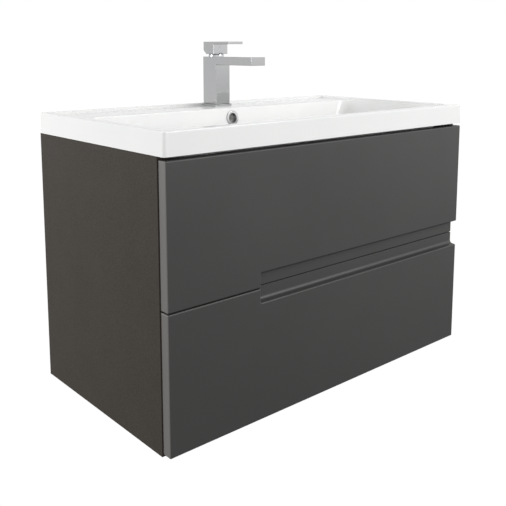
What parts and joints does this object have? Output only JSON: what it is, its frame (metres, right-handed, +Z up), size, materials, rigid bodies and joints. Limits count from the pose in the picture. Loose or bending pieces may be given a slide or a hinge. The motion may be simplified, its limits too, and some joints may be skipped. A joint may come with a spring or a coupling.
{
  "type": "bathroom vanity cabinet",
  "caption": "Wall-hung graphite vanity cabinet with soft-close drawers, a milled handle recess, a slim white inset basin and a single-lever chrome tap.",
  "frame": {"origin": "on the wall face, at mid-width and mid-height of the upper rear rail that the cabinet hangs by", "axes": "+X to the right seen from the room, +Y into the wall, +Z up"},
  "size_m": [0.81, 0.44, 0.6919],
  "materials": {
    "carcass_board": "matte",
    "front_board": "satin",
    "drawer_board": "matte",
    "china": "gloss",
    "chrome": "polished",
    "brass": "satin",
    "zinc_steel": "satin",
    "white_plastic": "satin",
    "grey_plastic": "satin",
    "black_rubber": "matte"
  },
  "bodies": {
    "cabinet": {"side_panel_left": "carcass_board", "side_panel_right": "carcass_board", "bottom_panel": "carcass_board", "upper_rear_rail": "carcass_board", "lower_rear_rail": "carcass_board", "middle_rail": "carcass_board", "basin": "china", "overflow_ring": "chrome", "waste_body": "chrome", "tap_base_plate": "chrome", "tap_body": "chrome", "tap_dome": "chrome", "tap_inlets": "brass", "tap_nut": "brass", "tap_stud": "brass", "cam_locks": "zinc_steel", "wall_hanger_left": "zinc_steel", "wall_hanger_right": "zinc_steel", "upper_runner_cabinet_members": "zinc_steel", "lower_runner_cabinet_members": "zinc_steel", "tap_clamp_washer": "zinc_steel", "trap_body": "white_plastic", "trap_cup": "white_plastic", "trap_nuts": "white_plastic", "trap_outlet_pipe": "white_plastic", "waste_nut": "white_plastic", "soft_close_units": "grey_plastic", "tap_aerator": "grey_plastic", "tap_cartridge": "grey_plastic", "waste_seal": "black_rubber"},
    "upper_drawer": {"upper_drawer_front": "front_board", "upper_drawer_side_left": "drawer_board", "upper_drawer_side_right": "drawer_board", "upper_drawer_inner_front": "drawer_board", "upper_drawer_base": "drawer_board", "upper_drawer_back": "drawer_board", "upper_drawer_trap_surround": "grey_plastic", "upper_front_screws": "zinc_steel", "upper_runner_drawer_members": "zinc_steel"},
    "lower_drawer": {"lower_drawer_front": "front_board", "lower_drawer_side_left": "drawer_board", "lower_drawer_side_right": "drawer_board", "lower_drawer_inner_front": "drawer_board", "lower_drawer_base": "drawer_board", "lower_drawer_back": "drawer_board", "lower_front_screws": "zinc_steel", "lower_runner_drawer_members": "zinc_steel"},
    "upper_runner_middle": {"upper_runner_middle_members": "zinc_steel"},
    "lower_runner_middle": {"lower_runner_middle_members": "zinc_steel"},
    "upper_outer_cages": {"upper_outer_ball_cages": "zinc_steel"},
    "upper_inner_cages": {"upper_inner_ball_cages": "zinc_steel"},
    "lower_outer_cages": {"lower_outer_ball_cages": "zinc_steel"},
    "lower_inner_cages": {"lower_inner_ball_cages": "zinc_steel"},
    "waste_push_plug": {"waste_plug": "chrome"},
    "tap_rotor": {"tap_cartridge_rotor": "brass"},
    "tap_lever": {"lever_handle": "chrome", "lever_stem": "brass", "lever_grub_screw": "zinc_steel", "lever_index_cap": "chrome"}
  },
  "joints": [
    {"name": "upper_drawer_slide", "type": "slide", "parent": "cabinet", "child": "upper_drawer", "axis": [0, -1, 0], "range_m": [0, 0.35]},
    {"name": "upper_runner_middle_slide", "type": "slide", "parent": "cabinet", "child": "upper_runner_middle", "axis": [0, -1, 0], "range_m": [0, 0.175]},
    {"name": "upper_outer_cages_slide", "type": "slide", "parent": "cabinet", "child": "upper_outer_cages", "axis": [0, -1, 0], "range_m": [0, 0.0875]},
    {"name": "upper_inner_cages_slide", "type": "slide", "parent": "cabinet", "child": "upper_inner_cages", "axis": [0, -1, 0], "range_m": [0, 0.2625]},
    {"name": "lower_drawer_slide", "type": "slide", "parent": "cabinet", "child": "lower_drawer", "axis": [0, -1, 0], "range_m": [0, 0.35]},
    {"name": "lower_runner_middle_slide", "type": "slide", "parent": "cabinet", "child": "lower_runner_middle", "axis": [0, -1, 0], "range_m": [0, 0.175]},
    {"name": "lower_outer_cages_slide", "type": "slide", "parent": "cabinet", "child": "lower_outer_cages", "axis": [0, -1, 0], "range_m": [0, 0.0875]},
    {"name": "lower_inner_cages_slide", "type": "slide", "parent": "cabinet", "child": "lower_inner_cages", "axis": [0, -1, 0], "range_m": [0, 0.2625]},
    {"name": "waste_plug_push", "type": "slide", "parent": "cabinet", "child": "waste_push_plug", "axis": [0, 0, 1], "range_m": [0, 0.01]},
    {"name": "tap_temperature", "type": "hinge", "parent": "cabinet", "child": "tap_rotor", "pos_m": [0, -0.057, 0.1985], "axis": [0, 0, 1], "range_deg": [-45, 45]},
    {"name": "tap_flow", "type": "hinge", "parent": "tap_rotor", "child": "tap_lever", "pos_m": [0, -0.057, 0.1985], "axis": [-1, 0, 0], "range_deg": [0, 22]}
  ],
  "couplings": [
    {"joint": "upper_runner_middle_slide", "follows": "upper_drawer_slide", "ratio": 0.5},
    {"joint": "upper_outer_cages_slide", "follows": "upper_drawer_slide", "ratio": 0.25},
    {"joint": "upper_inner_cages_slide", "follows": "upper_drawer_slide", "ratio": 0.75},
    {"joint": "lower_runner_middle_slide", "follows": "lower_drawer_slide", "ratio": 0.5},
    {"joint": "lower_outer_cages_slide", "follows": "lower_drawer_slide", "ratio": 0.25},
    {"joint": "lower_inner_cages_slide", "follows": "lower_drawer_slide", "ratio": 0.75}
  ]
}
